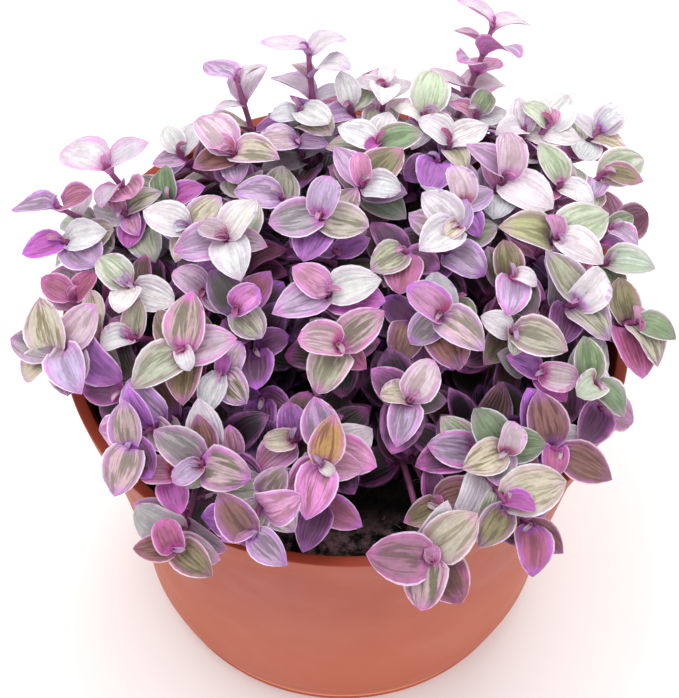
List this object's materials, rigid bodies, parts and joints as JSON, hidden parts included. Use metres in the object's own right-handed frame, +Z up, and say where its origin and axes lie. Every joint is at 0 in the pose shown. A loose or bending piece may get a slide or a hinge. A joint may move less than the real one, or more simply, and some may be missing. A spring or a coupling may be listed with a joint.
{
  "type": "potted plant",
  "caption": "Low round pot with a flared rim, filled with soil and a dense cushion of creeping vines bearing small pointed variegated leaves that spill over the edge.",
  "frame": {"origin": "centre of the pot's flat underside, on the pot's axis, at the height of the surface that it stands on", "axes": "+Z up along the pot's axis; -Y towards the side where the soil shows and the vines leave the rim bare; +X to the right when seen from that side"},
  "size_m": [0.1729, 0.1816, 0.152],
  "materials": {
    "terracotta_plastic": "satin, terracotta-coloured moulded plastic",
    "potting_soil": "matte, crumbly, with fibres",
    "leaf_sage": "satin, fleshy leaves striped in sage green, cream and pink",
    "leaf_pink": "satin, fleshy leaves striped in pink, cream and green",
    "leaf_lilac": "satin, fleshy leaves striped in lilac, white and grey-green"
  },
  "bodies": {
    "root": {"pot": "terracotta_plastic", "soil": "potting_soil", "vine_01": "leaf_pink", "vine_02": "leaf_lilac", "vine_03": "leaf_sage", "vine_04": "leaf_pink", "vine_05": "leaf_lilac", "vine_06": "leaf_sage", "vine_07": "leaf_pink", "vine_08": "leaf_lilac", "vine_09": "leaf_sage", "vine_10": "leaf_pink", "vine_11": "leaf_lilac", "vine_12": "leaf_sage", "vine_13": "leaf_pink", "vine_14": "leaf_lilac", "vine_15": "leaf_sage", "vine_16": "leaf_pink", "vine_17": "leaf_lilac", "vine_18": "leaf_sage", "vine_19": "leaf_pink", "vine_20": "leaf_lilac", "vine_21": "leaf_sage", "vine_22": "leaf_pink", "vine_23": "leaf_lilac", "vine_24": "leaf_sage", "vine_25": "leaf_pink", "vine_26": "leaf_lilac", "vine_27": "leaf_sage", "vine_28": "leaf_pink", "vine_29": "leaf_lilac", "vine_30": "leaf_sage", "vine_31": "leaf_pink", "vine_32": "leaf_lilac", "vine_33": "leaf_sage", "vine_34": "leaf_pink", "vine_35": "leaf_lilac", "vine_36": "leaf_sage", "vine_37": "leaf_pink", "vine_38": "leaf_lilac", "vine_39": "leaf_sage", "vine_40": "leaf_pink", "vine_41": "leaf_lilac", "vine_42": "leaf_sage", "vine_43": "leaf_pink", "vine_44": "leaf_lilac", "vine_45": "leaf_sage", "vine_46": "leaf_pink", "vine_47": "leaf_lilac", "vine_48": "leaf_sage", "vine_49": "leaf_pink", "vine_50": "leaf_lilac", "vine_51": "leaf_sage", "vine_52": "leaf_pink", "vine_53": "leaf_lilac", "vine_54": "leaf_sage"}
  },
  "joints": []
}
